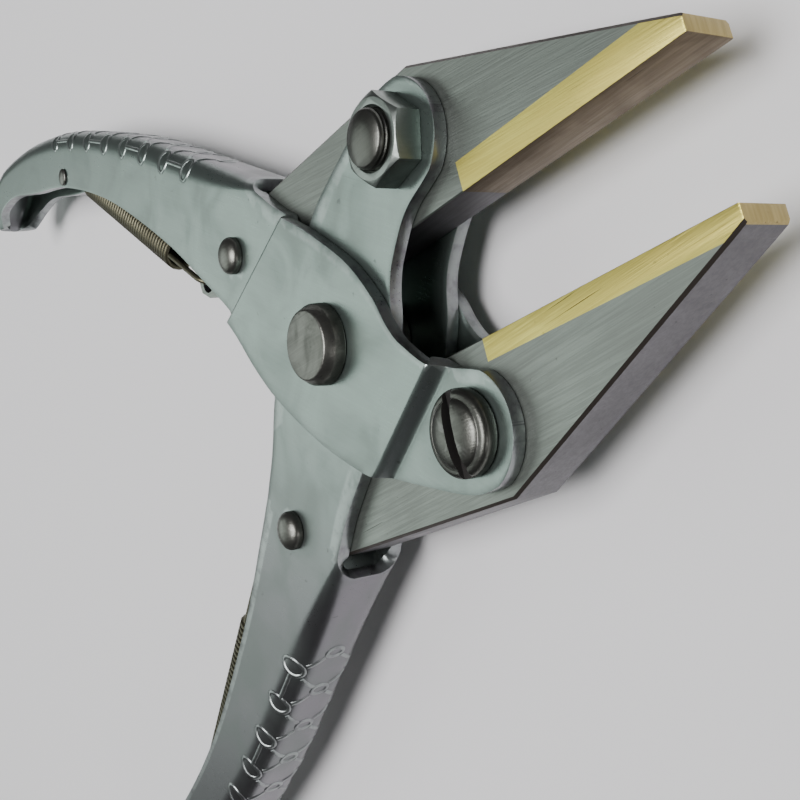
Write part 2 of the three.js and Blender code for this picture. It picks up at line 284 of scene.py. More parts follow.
# %% Grinding scratches
def build_scratches():
    group, given, made = new_group(
        "grinding_scratches",
        [("Vector", "NodeSocketVector", None), ("Density", "NodeSocketFloat", 0.5)],
        ["Fine", "Deep"],
    )
    vector = given.outputs["Vector"]
    fine = noise(group, stretched(group, vector, 0, (90, 3600, 1500)), 1.0, 2, 0.7)
    finer = noise(group, stretched(group, vector, 1.5, (260, 9000, 4200)), 1.0, 2, 0.6)
    both = math_node(group, "ADD", scaled(group, fine, 0.6), scaled(group, finer, 0.4))
    link(group, ramp(group, both, 0.36, 0.64), made.inputs["Fine"])
    few = noise(group, stretched(group, vector, -3, (110, 5200, 2400)), 1.0, 1, 0.4)
    threshold = math_node(group, "SUBTRACT", 0.78, scaled(group, given.outputs["Density"], 0.14))
    over = math_node(group, "SUBTRACT", few, threshold)
    link(group, math_node(group, "MULTIPLY", over, 16, clamp=True), made.inputs["Deep"])
    return group


scratches = build_scratches()
print(scratches.name, len(scratches.nodes), "nodes")

# %% [markdown]
# Plating and oil dry in clouds, and handling leaves dark specks. One noise with many levels of detail could
# hold both, but then they could not be tuned apart. So there are three: a wide distorted cloud, small
# specks above a high threshold, and a very fine grain that mostly touches the gloss.

# %% Plating stains
def build_stains():
    group, given, made = new_group(
        "plating_stains",
        [
            ("Vector", "NodeSocketVector", None),
            ("Cloud Scale", "NodeSocketFloat", 90.0),
            ("Speck Scale", "NodeSocketFloat", 900.0),
        ],
        ["Cloud", "Speck", "Grain"],
    )
    vector = given.outputs["Vector"]
    cloud = noise(group, vector, given.outputs["Cloud Scale"], 4, 0.5, distortion=0.8)
    link(group, ramp(group, cloud, 0.38, 0.72), made.inputs["Cloud"])
    speck = noise(group, vector, given.outputs["Speck Scale"], 2, 0.5)
    link(group, ramp(group, speck, 0.70, 0.80), made.inputs["Speck"])
    link(group, noise(group, vector, 5200, 2), made.inputs["Grain"])
    return group


stains = build_stains()
print(stains.name, len(stains.nodes), "nodes")

# %% [markdown]
# Edges that rub in use lose their plating, and their bright bare metal is also a painted highlight. Inner
# corners are darkened as painted shade. Both could be painted by hand. Pointiness finds them without
# painting: it is high where a surface bends outwards and low where it bends inwards. Noise breaks up the
# edge mask, since wear is never an even line.

# %% Rubbed edges
def build_edges_and_corners():
    group, given, made = new_group(
        "edge_wear_highlight_and_corner_shade",
        [("Vector", "NodeSocketVector", None), ("Amount", "NodeSocketFloat", 1.0)],
        ["Edge", "Corner"],
    )
    bend = add(group, "ShaderNodeNewGeometry").outputs["Pointiness"]
    broken = ramp(group, noise(group, given.outputs["Vector"], 700, 3), 0.25, 0.6)
    # Edge: bare metal on outward bends, and a painted highlight.
    edge = math_node(group, "MULTIPLY", ramp(group, bend, 0.515, 0.56), broken)
    link(group, math_node(group, "MULTIPLY", edge, given.outputs["Amount"], clamp=True), made.inputs["Edge"])
    # Corner: painted shade where the surface bends inwards.
    link(group, math_node(group, "SUBTRACT", 1.0, ramp(group, bend, 0.43, 0.49)), made.inputs["Corner"])
    return group


edges_and_corners = build_edges_and_corners()
print("effect groups:", [g.name for g in (scratches, stains, edges_and_corners)])

# %% [markdown]
# A metal here is a Principled shader with its colour mixed in steps: base, stain, painted shade in the
# corners, and bare bright metal on the edges that is also a painted highlight. One function lays out those
# steps, and each finish calls it with its own colours and strengths. Values that are the same all over the
# surface sit on the shader's own sockets.

# %% Mixing one colour over another
def mix_colour(tree, fac, a, b):
    node = add(tree, "ShaderNodeMix", data_type="RGBA")
    link(tree, fac, node.inputs["Factor"])
    for value, socket in ((a, node.inputs["A"]), (b, node.inputs["B"])):
        if isinstance(value, tuple):
            socket.default_value = (*value, 1)
        else:
            link(tree, value, socket)
    return node.outputs["Result"]


def use(tree, group, vector, **values):
    """Places an effect group in a material with its own values."""
    node = add(tree, "ShaderNodeGroup", node_tree=group)
    link(tree, vector, node.inputs["Vector"])
    for name, value in values.items():
        node.inputs[name.replace("_", " ")].default_value = value
    return node


def toned(tree, coords, colour, sides, lower_handle_shade):
    """The base colour, with painted shade along the lower handle and painted reflection and shade on upright
    faces.
    """
    # A darker grey along the lower handle, set by place: painted shade.
    if lower_handle_shade:
        at = add(tree, "ShaderNodeSeparateXYZ")
        link(tree, coords.outputs["Object"], at.inputs["Vector"])
        along_handle = math_node(tree, "ADD", scaled(tree, at.outputs["X"], 0.6), at.outputs["Y"])
        share = ramp(tree, scaled(tree, along_handle, -1.0), 0.002, 0.042)
        colour = mix_colour(tree, share, colour, lower_handle_shade)
    # A warmer grey on upright faces: painted reflection and shade.
    if sides:
        facing = add(tree, "ShaderNodeSeparateXYZ")
        link(tree, coords.outputs["Normal"], facing.inputs["Vector"])
        upright = math_node(tree, "SUBTRACT", 1.0, math_node(tree, "ABSOLUTE", facing.outputs["Z"]))
        colour = mix_colour(tree, ramp(tree, upright, 0.15, 0.85), colour, sides)
    return colour


print("a finish uses", len(bpy.data.node_groups), "effect groups")

# %% [markdown]
# The same masks drive three things at once, because a real stain changes colour, gloss and height together.
# A finish that only changed colour would look printed. The recipe takes four colours and the strength of
# each effect, and everything else in this lesson is made of it.

# %% One recipe for every metal
# How strongly the inner corners are darkened as painted shade.
CORNER_SHADE = 0.75
BUMP_STRENGTH = 0.6


def metal(name, base, stain, bare_and_highlight, grime_and_shade, roughness, metallic=0.9, cloud=0.5, speck=0.35, streak=0.0,
          density=0.5, grain=0.15, cloud_scale=90.0, speck_scale=900.0, edge=1.0, turn=0.0, bump=0.04,
          sides=None, lower_handle_shade=None):
    material = bpy.data.materials.new(name)
    material.use_nodes = True
    tree = material.node_tree
    shader = tree.nodes["Principled BSDF"]
    coords = add(tree, "ShaderNodeTexCoord")
    place = coords.outputs["Object"]
    marks = use(tree, scratches, stretched(tree, place, turn, (1, 1, 1)), Density=density)
    clouds = use(tree, stains, place, Cloud_Scale=cloud_scale, Speck_Scale=speck_scale)
    # This group gives the rubbed edges with their painted highlight, and the painted shade in the corners.
    edge_and_corner_masks = use(tree, edges_and_corners, place, Amount=edge)
    mask = {socket.name: socket for node in (marks, clouds, edge_and_corner_masks) for socket in node.outputs}

    colour = toned(tree, coords, base, sides, lower_handle_shade)
    deep = min(1.0, 2 * streak)
    # Specks and deep scratches darken with grime; the corners are darkened with the same colour as painted
    # shade.
    for effect, amount, over in (("Cloud", cloud, stain), ("Speck", speck, grime_and_shade), ("Fine", streak, stain),
                                 ("Deep", deep, grime_and_shade), ("Corner", CORNER_SHADE, grime_and_shade)):
        colour = mix_colour(tree, scaled(tree, mask[effect], amount), colour, over)
    # Edges take bare metal that is also a painted highlight.
    link(tree, mix_colour(tree, mask["Edge"], colour, bare_and_highlight), shader.inputs["Base Color"])

    rough = roughness
    for effect, amount in (("Cloud", 0.10), ("Fine", 0.25 * streak), ("Grain", 0.08)):
        rough = math_node(tree, "ADD", rough, scaled(tree, mask[effect], amount))
    link(tree, rough, shader.inputs["Roughness"])

    height = scaled(tree, mask["Grain"], grain)
    for effect, amount in (("Fine", streak), ("Deep", -streak), ("Speck", -0.6 * speck)):
        height = math_node(tree, "ADD", height, scaled(tree, mask[effect], amount))
    relief = add(tree, "ShaderNodeBump")
    relief.inputs["Strength"].default_value = BUMP_STRENGTH
    relief.inputs["Distance"].default_value = bump * MM
    link(tree, height, relief.inputs["Height"])
    link(tree, relief.outputs["Normal"], shader.inputs["Normal"])
    shader.inputs["Metallic"].default_value = metallic
    print(f"{name}: {len(tree.nodes)} nodes")
    return material


print("recipe ready")

# %% [markdown]
# The handles are plated and satin, with a slightly green grey on the flats. A warmer grey is painted on
# upright faces as reflection and shade, and a darker grey along the lower handle as shade. A mirror finish
# would be simpler but wrong: the real surface spreads its highlights. The four colours are base, stain, bare
# metal with a painted highlight, and grime with painted shade, in that order in every finish.

# %% The handles' plating
plating = metal(
    "satin_plating",
    base=(0.27, 0.335, 0.305), stain=(0.17, 0.205, 0.185), bare_and_highlight=(0.44, 0.49, 0.47),
    grime_and_shade=(0.045, 0.045, 0.045),
    roughness=0.24, metallic=0.92, cloud=0.5, speck=0.4, streak=0.08, density=0.2, grain=0.25,
    cloud_scale=110, turn=35, edge=0.45, sides=(0.215, 0.205, 0.225), lower_handle_shade=(0.165, 0.168, 0.172),
)

# %% [markdown]
# The jaws' flat sides are ground, so fine scratches run along them, at a slightly different angle on each
# jaw. That angle is the only difference between the two ground materials. The milled outer edges are painted
# a darker purple grey as shade and reflection, and the narrow chamfer beside them a dark brown as shade.

# %% Jaw steel
STREAK_TURN = {"upper": 9, "lower": -5}
ground_steel = {word: metal(
    f"ground_{word}_jaw_steel",
    base=(0.245, 0.275, 0.245), stain=(0.15, 0.165, 0.15), bare_and_highlight=(0.36, 0.37, 0.36),
    grime_and_shade=(0.06, 0.06, 0.055),
    roughness=0.30, metallic=0.92, cloud=0.15, speck=0.45, streak=0.40, density=0.25, cloud_scale=70,
    speck_scale=1700, edge=0.0, turn=turn, bump=0.03,
) for word, turn in STREAK_TURN.items()}
# Painted shade and reflection: a darker purple grey for upright faces, on steel and brass alike.
edge_steel = metal(
    "jaw_edge_steel",
    base=(0.145, 0.14, 0.15), stain=(0.09, 0.085, 0.09), bare_and_highlight=(0.30, 0.30, 0.30),
    grime_and_shade=(0.03, 0.028, 0.026),
    roughness=0.34, metallic=0.92, cloud=0.3, speck=0.15, streak=0.25, density=0.3, speck_scale=1900,
    edge=0.0, bump=0.02,
)
# Painted shade: a dark brown for the chamfers, on steel and brass alike.
shaded_chamfer_steel = metal(
    "chamfer_painted_shade",
    base=(0.072, 0.060, 0.052), stain=(0.035, 0.03, 0.027), bare_and_highlight=(0.1, 0.09, 0.08),
    grime_and_shade=(0.02, 0.018, 0.016),
    roughness=0.42, metallic=0.8, cloud=0.5, speck=0.1, edge=0.0, bump=0.01,
)

# %% [markdown]
# The brass is bright where it was ground with the jaw. Its gripping faces are rubbed and painted dark brown
# as the shade between the jaws, and its sawn ends, turned away from the window, are painted duller as shade.
# These are three copies of one metal. A single brass with more noise would blur them together, while the
# real line between ground side and grip is sharp.

# %% Brass
BRASS_TURN = {"upper": 5, "lower": -5}
jaw_brass = {word: metal(
    f"ground_{word}_jaw_brass",
    base=(0.74, 0.66, 0.17), stain=(0.44, 0.37, 0.09), bare_and_highlight=(0.74, 0.66, 0.34),
    grime_and_shade=(0.14, 0.11, 0.04),
    roughness=0.28, metallic=0.92, cloud=0.2, speck=0.3, streak=0.45, density=0.35, cloud_scale=80,
    speck_scale=1700, edge=0.0, turn=turn, bump=0.03,
) for word, turn in BRASS_TURN.items()}
# Painted shade: dark brown for the gripping faces between the jaws.
shaded_grip_brass = metal(
    "grip_brass_painted_shade",
    base=(0.20, 0.155, 0.10), stain=(0.12, 0.09, 0.06), bare_and_highlight=(0.3, 0.25, 0.15),
    grime_and_shade=(0.05, 0.035, 0.02),
    roughness=0.36, metallic=0.9, cloud=0.6, speck=0.4, streak=0.4, density=0.4, cloud_scale=160,
    speck_scale=1500, edge=0.0, bump=0.03,
)
# Painted shade: duller brass for the ends turned away from the window.
shaded_end_brass = metal(
    "sawn_brass_end_painted_shade",
    base=(0.47, 0.375, 0.16), stain=(0.30, 0.23, 0.09), bare_and_highlight=(0.5, 0.4, 0.2),
    grime_and_shade=(0.12, 0.09, 0.05),
    roughness=0.34, metallic=0.92, cloud=0.3, speck=0.2, streak=0.4, density=0.5, edge=0.0,
    turn=90, bump=0.03,
)

# %% [markdown]
# Rivet, pins and screws are plain steel that oil and fingers have darkened, and the nuts are a little
# brighter. The jaw screws are a darker copy still, painted shade that holds down the window's light on their
# domes. Small parts need smaller stains, or one cloud would cover a whole head, so their cloud scale is more
# than twice that of the handles.

# %% Fasteners, springs, grime and painted shade
FASTENER = {"metallic": 0.95, "speck_scale": 1500, "density": 0.3}
bolt_steel = metal(
    "worn_fastener_steel",
    base=(0.17, 0.175, 0.155), stain=(0.075, 0.078, 0.068), bare_and_highlight=(0.36, 0.35, 0.33),
    grime_and_shade=(0.02, 0.02, 0.018),
    roughness=0.27, cloud=0.8, speck=0.6, streak=0.2, grain=0.4, cloud_scale=260, edge=0.35, **FASTENER,
)
# Painted shade: a darker copy of the fastener steel for the jaw screws.
screw_steel = metal(
    "worn_and_shaded_screw_steel",
    base=(0.125, 0.13, 0.115), stain=(0.06, 0.062, 0.055), bare_and_highlight=(0.26, 0.26, 0.25),
    grime_and_shade=(0.015, 0.015, 0.013),
    roughness=0.25, cloud=0.8, speck=0.6, streak=0.2, grain=0.4, cloud_scale=260, edge=0.35, **FASTENER,
)
nut_steel = metal(
    "nut_steel",
    base=(0.25, 0.285, 0.26), stain=(0.12, 0.13, 0.12), bare_and_highlight=(0.5, 0.52, 0.5),
    grime_and_shade=(0.03, 0.03, 0.027),
    roughness=0.28, cloud=0.7, speck=0.5, streak=0.1, grain=0.3, cloud_scale=240, edge=0.0, **FASTENER,
)
spring_wire = metal(
    "oiled_spring_wire",
    base=(0.085, 0.083, 0.052), stain=(0.05, 0.048, 0.03), bare_and_highlight=(0.18, 0.17, 0.12),
    grime_and_shade=(0.015, 0.013, 0.01),
    roughness=0.35, metallic=0.9, cloud=0.5, speck=0.3, cloud_scale=150, edge=0.3,
)
# Near black for the screw slots: painted shade in the slot, with its old grime.
grime_and_shade = metal(
    "grime_and_shade",
    base=(0.012, 0.011, 0.010), stain=(0.02, 0.018, 0.015), bare_and_highlight=(0.03, 0.03, 0.03),
    grime_and_shade=(0.005, 0.005, 0.005),
    roughness=0.7, metallic=0.1, edge=0.0,
)
print("finishes:", len(bpy.data.materials))

# %% [markdown]
# Each handle is one blank of sheet steel, folded into a channel with two flat cheeks. The blank is followed
# from the ear back to the curled tail, one station at a time. A station joins a point of the front chain to
# a point of the rear chain, so the grid's lines run with the edges of the real blank and nothing needs
# cutting out.

# %% Smooth chains through a few points
CURVE_PARTS = 30


def between(a, b, c, d, t):
    """A place on the smooth curve that runs from b to c, with a before it and d after it."""
    bend = 2 * a - 5 * b + 4 * c - d
    twist = 3 * b - a - 3 * c + d
    return 0.5 * (2 * b + (c - a) * t + bend * t**2 + twist * t**3)


def chain(points, steps):
    """steps + 1 evenly spaced points on a smooth curve through the given ones."""
    known = [Vector((x, y, 0)) for x, y in points]
    ends = [2 * known[0] - known[1], *known, 2 * known[-1] - known[-2]]
    fine = []
    for a, b, c, d in zip(ends, ends[1:], ends[2:], ends[3:]):
        fine += [between(a, b, c, d, k / CURVE_PARTS) for k in range(CURVE_PARTS)]
    fine.append(known[-1])
    run = [0.0]
    for a, b in zip(fine, fine[1:]):
        run.append(run[-1] + (b - a).length)
    out, k = [], 0
    for i in range(steps + 1):
        want = run[-1] * i / steps
        while k < len(run) - 2 and run[k + 1] < want:
            k += 1
        share = (want - run[k]) / max(run[k + 1] - run[k], 1e-9)
        out.append(fine[k].lerp(fine[k + 1], min(share, 1)))
    return out


def along(points, t):
    """The point a share t of the way along an evenly spaced chain."""
    x = min(max(t, 0), 1) * (len(points) - 1)
    k = min(int(x), len(points) - 2)
    return points[k].lerp(points[k + 1], x - k)


WEB_LINE = chain([
    (-9.5, 22.4), (-15.9, 26.9), (-26.9, 34.6), (-39.2, 42.9), (-56.3, 52.2), (-71.2, 58.0), (-84, 60.97),
    (-91.6, 61.17), (-97.2, 58.6), (-99.4, 54.5),
], 300)
OPEN_EDGE = chain([
    (-20.5, 11.4), (-24.3, 15.7), (-33, 25), (-47.2, 37), (-61.8, 45.6), (-74, 50.2), (-84, 54.0),
    (-91, 54.6), (-95.2, 53.2),
], 300)
REACH, FALL = 3.0, 2.4  # the bend's size across the handle and down its side
WEB_LENGTH = sum((b - a).length for a, b in zip(WEB_LINE, WEB_LINE[1:]))
print(f"web line {WEB_LENGTH:.0f} mm long")

# %% [markdown]
# Ahead of the channel lies the flat part: a round ear about the jaw's screw, and a plate that widens to the
# rivet. Modelling ear, plate and channel apart and joining them later leaves seams. With one run of
# stations the whole blank is one grid, and the kinks where the ear meets the plate are averaged away.

# %% The flat front of the blank
EAR_RADIUS = 5.73
EAR_TIP, EAR_SWEEP = math.radians(-8), math.radians(107)
EAR_STEPS, PLATE_STEPS, CHANNEL_STEPS = 16, 44, 100
CHANNEL_START = EAR_STEPS + PLATE_STEPS
MOUTH_FLARE = Vector((2.8, 0.35, 0))
FLARE_STATIONS = 16


def ear_point(angle):
    centre = Vector((PIVOT.x, -PIVOT.y, 0))
    return centre + EAR_RADIUS * Vector((math.cos(EAR_TIP + angle), math.sin(EAR_TIP + angle), 0))


def flare(t):
    """How far the bends run forward at the mouth, to meet the front edge of the cheeks."""
    return MOUTH_FLARE * max(0, 1 - t * CHANNEL_STEPS / FLARE_STATIONS) ** 2


def eased(line, at, reach=6, passes=14):
    """Rounds off the kink at one place of a chain by averaging neighbours."""
    for _ in range(passes):
        old = line[:]
        for k in range(at - reach, at + reach + 1):
            line[k] = (old[k - 1] + 2 * old[k] + old[k + 1]) / 4
    return line


flat_start = WEB_LINE[0] + (OPEN_EDGE[0] - WEB_LINE[0]).normalized() * REACH + flare(0)
plate_front = chain([
    ear_point(EAR_SWEEP)[:2], (12.2, -4.2), (10.7, -1.7), (9.6, 1.4), (6.8, 6.0), (2.0, 10.9), (-0.6, 13.2),
    (-3.4, 15.4), (-5.8, 17.4), (-7.7, 19.4), flat_start[:2],
], PLATE_STEPS)
plate_rear = chain([
    ear_point(-EAR_SWEEP)[:2], (4.1, -15.0), (0.3, -12.9), (-5.4, -8.5), (-11.3, -2.5), (-14.6, 2.1),
    (-17.4, 7.1), (-20.5, 11.4),
], PLATE_STEPS)
ear_angles = [EAR_SWEEP * (0.02 + 0.98 * i / EAR_STEPS) for i in range(EAR_STEPS)]
front_line = eased([ear_point(a) for a in ear_angles] + plate_front, EAR_STEPS)
rear_line = eased([ear_point(-a) for a in ear_angles] + plate_rear, EAR_STEPS)
print(f"ear and plate: {CHANNEL_START} stations, channel: {CHANNEL_STEPS}")

# %% [markdown]
# Across the blank, every station runs over one cheek, round a bend, over the web and down the other side. A
# swept profile would keep one section all along, while the real cheeks grow and shrink between two edges of
# their own. So each grid cell is placed by its station and by its share across.

# %% From a grid cell to the outside of the sheet
CHEEK, BEND, WEB = 14, 7, 8  # grid cells across each part
ACROSS = 2 * (CHEEK + BEND) + WEB
BOW, BOW_STATIONS = 0.009, 14  # the web's front edge bows back a little
TAIL_START, TAIL_NARROWING = 0.93, 0.3


def station(i):
    """Front and rear point of the flat cheek at station i, and its share along the channel."""
    if i < CHANNEL_START:
        return front_line[i], rear_line[i], None
    t = (i - CHANNEL_START) / CHANNEL_STEPS
    a, b = along(WEB_LINE, t), along(OPEN_EDGE, t)
    return a + (b - a).normalized() * REACH + flare(t), b, t


def half_width(t):
    return INNER_LEVEL * (1 - TAIL_NARROWING * max(0, (t - TAIL_START) / (1 - TAIL_START)) ** 2)


def web_point(t, angle, front_share):
    """On the bend: angle 0 where it leaves the cheek, a quarter turn where it meets the web."""
    bowed = min(1, t + BOW * front_share * max(0, 1 - t * CHANNEL_STEPS / BOW_STATIONS))
    a, b = along(WEB_LINE, bowed), along(OPEN_EDGE, t)
    p = a + ((b - a).normalized() * REACH + flare(t)) * (1 - math.sin(angle))
    p.z = half_width(t) - FALL * (1 - math.cos(angle))
    return p


def sheet_point(i, j):
    side = 1 if j <= ACROSS / 2 else -1
    k = j if side > 0 else ACROSS - j
    front, rear, t = station(i)
    if k <= CHEEK:
        p = rear.lerp(front, k / CHEEK)
        p.z = INNER_LEVEL if t is None else half_width(t)
    elif k <= CHEEK + BEND:
        share = (k - CHEEK) / BEND
        p = web_point(t or 0, share * math.pi / 2, share)
    else:
        share = (k - CHEEK - BEND) / (WEB / 2)
        p = web_point(t or 0, math.pi / 2, 1)
        p.z *= 1 - share
    p.z *= side
    return p


print(f"channel {2 * half_width(0):.1f} mm wide, {2 * half_width(1):.1f} mm at the tail")

# %% [markdown]
# The outer handle is pressed up by one sheet and its play, to pass over the inner one at the rivet. The
# step could be modelled as a separate raised plate, but the real sheet is one. Bisect planes lay edges
# along each fold, and then the height is a smooth function of the distance past the fold.

# %% The step that lifts the outer handle over the inner one
STEP_RUN = 1.0
EASE = 0.15  # the slope starts this much early and ends this much late
FOLD_REACH, CHEEK_HEIGHT = 5, 3
CUTS_PER_RUN, FOLD_CUTS = 6, range(-4, 11)
FRONT_FOLD = (Vector((3.1, -14.5, 0)), Vector((15.0, -7.1, 0)))
REAR_FOLD = (Vector((-3.2, 14.7, 0)), Vector((-12.6, 11.2, 0)))


def past_fold(p, fold):
    """Distance of p beyond a fold line, towards the lower level."""
    a, b = fold
    run = (b - a).normalized()
    return (p.x - a.x) * run.y - (p.y - a.y) * run.x


def raised(p):
    """Share of the full step at p: 1 between the folds, 0 beyond them."""
    share = 1.0
    for fold in (FRONT_FOLD, REAR_FOLD):
        x = min(max((past_fold(p, fold) + EASE) / (STEP_RUN + 2 * EASE), 0), 1)
        share *= 1 - x * x * (3 - 2 * x)
    return share


def cheek_faces(bm, fold):
    """The flat faces of the cheeks within reach of a fold."""
    near = [f for f in bm.faces if abs(past_fold(f.calc_center_median(), fold)) < FOLD_REACH]
    return [f for f in near if min(abs(v.co.z) for v in f.verts) > INNER_LEVEL - 0.01]


def press_step(bm):
    for fold in (FRONT_FOLD, REAR_FOLD):
        a, b = fold
        run = (b - a).normalized()
        across = Vector((run.y, -run.x, 0))
        for k in FOLD_CUTS:
            at = a + across * (STEP_RUN * k / CUTS_PER_RUN)
            near = cheek_faces(bm, fold)
            geometry = {*near, *(e for f in near for e in f.edges), *(v for f in near for v in f.verts)}
            bmesh.ops.bisect_plane(bm, geom=list(geometry), dist=MERGE, plane_co=at, plane_no=across)
    for v in bm.verts:
        if abs(v.co.z) > CHEEK_HEIGHT:
            v.co.z += math.copysign((OUTER_LEVEL - INNER_LEVEL) * raised(v.co), v.co.z)


print(f"step of {OUTER_LEVEL - INNER_LEVEL:.2f} mm over {STEP_RUN} mm")

# %% [markdown]
# A grid of faces is laid over the stations, the part with no web is deleted, and Solidify gives the sheet
# its thickness on the inside. The step is cut in with bisect planes, so that the slope has clean lines of
# its own whichever way the grid runs. Holes for the rivet, screw and pins are real cuts.

# %% Build both handles
DRILL_LENGTH = 30
RIVET_HOLE, SCREW_HOLE, GUIDE_HOLE, ANCHOR_HOLE = 3.0, 2.85, 1.55, 0.85
PRESSED_EDGE = 0.22


def hole_cutter(x, y, radius, segments=48):
    bm = bmesh.new()
    bmesh.ops.create_cone(
        bm, cap_ends=True, segments=segments, radius1=radius, radius2=radius, depth=DRILL_LENGTH)
    bmesh.ops.translate(bm, vec=(x, y, 0), verts=bm.verts)
    return bm


def blank(stepped):
    """The outside skin of a handle, as one grid with its open part deleted."""
    bm = bmesh.new()
    total = CHANNEL_START + CHANNEL_STEPS
    bmesh.ops.create_grid(bm, x_segments=total, y_segments=ACROSS, size=0.5)
    open_cells = []
    for f in bm.faces:
        c = f.calc_center_median()
        if (c.x + 0.5) * total < CHANNEL_START and CHEEK < (c.y + 0.5) * ACROSS < ACROSS - CHEEK:
            open_cells.append(f)
    bmesh.ops.delete(bm, geom=open_cells, context="FACES")
    for v in bm.verts:
        v.co = sheet_point(round((v.co.x + 0.5) * total), round((v.co.y + 0.5) * ACROSS))
    if stepped:
        press_step(bm)
    bmesh.ops.recalc_face_normals(bm, faces=bm.faces)
    top = max(bm.faces, key=lambda f: f.calc_center_median().z)
    if top.normal.z < 0:
        bmesh.ops.reverse_faces(bm, faces=bm.faces)
    return bm


def handle(name, side, stepped):
    obj = piece(blank(stepped), name, side, clean=False)
    sheet = obj.modifiers.new("sheet", "SOLIDIFY")
    sheet.thickness = SHEET * MM
    sheet.offset = -1
    sheet.use_even_offset = True
    holes = [(0, 0, RIVET_HOLE), (PIVOT.x, -PIVOT.y, SCREW_HOLE), (GUIDE.x, GUIDE.y, GUIDE_HOLE),
             (ANCHOR.x, ANCHOR.y, ANCHOR_HOLE)]
    cut(obj, *[piece(hole_cutter(*h), "cutter", side) for h in holes])
    soften(obj, PRESSED_EDGE, 2, 68)
    return apply_all(obj)


outer_handle = handle("outer_handle_pressing", UPPER, True)
settle(outer_handle, "outer_handle", "plated_steel", plating, "outer_handle", smooth=40)
inner_handle = handle("inner_handle_pressing", LOWER, False)
settle(inner_handle, "inner_handle", "plated_steel", plating, "inner_handle", smooth=40)

# %% [markdown]
# The grip pattern is stamped into the die, so it stands up from the sheet: rings along both bends, short
# bars joining them in pairs, and slanted strokes over the web between one row and the other. Each mark is a
# thin wire that follows the surface and lies half buried in it, which is how a raised line in sheet metal
# looks.

# %% Finding a place on the bent surface
BEND_ARC = math.pi / 2 * math.sqrt((REACH**2 + FALL**2) / 2)
WEB_FLAT = 2 * (INNER_LEVEL - FALL)
AROUND = 2 * BEND_ARC + WEB_FLAT


def on_surface(s, u):
    """s millimetres along the web line, u millimetres round the outside from the upper cheek."""
    t = s / WEB_LENGTH
    side = 1 if u <= AROUND / 2 else -1
    v = u if side > 0 else AROUND - u
    p = web_point(t, min(v / BEND_ARC, 1) * math.pi / 2, 1)
    if v > BEND_ARC:
        p.z *= 1 - (v - BEND_ARC) / (WEB_FLAT / 2)
    p.z *= side
    return p


def outward(s, u, step=0.1):
    """The direction out of the surface at s, u."""
    round_it = on_surface(s, u + step) - on_surface(s, u - step)
    along_it = on_surface(s + step, u) - on_surface(s - step, u)
    return round_it.cross(along_it).normalized()


def wire_on_surface(bm, marks, radius, closed=False, sink=0.28, sides=6):
    """A thin wire along (s, u) marks, its axis a little under the surface."""
    count = len(marks)
    places = [on_surface(*m) for m in marks]
    angles = [2 * math.pi * n / sides for n in range(sides)]
    rings = []
    for k, mark in enumerate(marks):
        normal = outward(*mark)
        if closed:
            ahead = (places[(k + 1) % count] - places[k - 1]).normalized()
        else:
            ahead = (places[min(k + 1, count - 1)] - places[max(k - 1, 0)]).normalized()
        out = ahead.cross(normal).normalized()
        centre = places[k] - normal * sink
        spokes = [math.cos(a) * out + math.sin(a) * normal for a in angles]
        rings.append([bm.verts.new(centre + radius * spoke) for spoke in spokes])
    pairs = list(zip(rings, rings[1:]))
    if closed:
        pairs.append((rings[-1], rings[0]))
    for a, b in pairs:
        for n in range(sides):
            bm.faces.new((a[n], a[(n + 1) % sides], b[(n + 1) % sides], b[n]))
    if not closed:
        bm.faces.new(rings[0])
        bm.faces.new(rings[-1])


print(f"{AROUND:.1f} mm round the outside of the channel")

# %% [markdown]
# The pattern repeats every few millimetres, so a loop lays it out from one pitch. Three rows of rings come
# first, then bars from ring to ring. The middle row sits half a pitch back, which is what slants the
# strokes.

# %% Stamp both handles
RING_RADIUS, SMALL_RADIUS = 1.35, 0.95
RING_PITCH, RING_COUNT, FIRST_RING = 6.6, 8, 16.4
RING_LONG, RING_ROUND, RING_SIDES = 0.8, 1.1, 24  # rings are a little wider round the handle than along it
NEAR_ROW, MIDDLE_ROW, FAR_ROW = 1.4, AROUND / 2, AROUND - 1.4
LINE = 0.42
BAR_TRIM, STROKE_TRIM, STROKE_END_TRIM = 1.1, 1.9, 1.3


def line_of(a, b, trim_a, trim_b, steps=8):
    """Marks from a to b, stopping short of either end."""
    a, b = Vector(a), Vector(b)
    run = (b - a).normalized()
    a, b = a + run * trim_a, b - run * trim_b
    return [tuple(a.lerp(b, k / steps)) for k in range(steps + 1)]


def ring_of(s, u, radius):
    angles = [2 * math.pi * k / RING_SIDES for k in range(RING_SIDES)]
    return [(s + RING_LONG * radius * math.cos(a), u + RING_ROUND * radius * math.sin(a)) for a in angles]


def grip_marks(name, side, body):
    bm = bmesh.new()
    near = [(FIRST_RING + RING_PITCH * k, NEAR_ROW) for k in range(RING_COUNT)]
    far = [(s, FAR_ROW) for s, u in near]
    middle = [(s - RING_PITCH / 2, MIDDLE_ROW) for s, u in near]
    for row, radius in ((near, RING_RADIUS), (far, RING_RADIUS), (middle, SMALL_RADIUS)):
        for s, u in row:
            wire_on_surface(bm, ring_of(s, u, radius), LINE, closed=True)
    for row in (near, far):
        for k in range(0, RING_COUNT - 1, 2):
            wire_on_surface(bm, line_of(row[k], row[k + 1], BAR_TRIM, BAR_TRIM), LINE)
        for k in range(RING_COUNT):
            for end in middle[k:k + 2]:
                wire_on_surface(bm, line_of(row[k], end, STROKE_TRIM, STROKE_END_TRIM), LINE)
    settle(piece(bm, name, side), body, "plated_steel", plating, smooth=80)


grip_marks("outer_grip_marks", UPPER, "outer_handle")
grip_marks("inner_grip_marks", LOWER, "inner_handle")

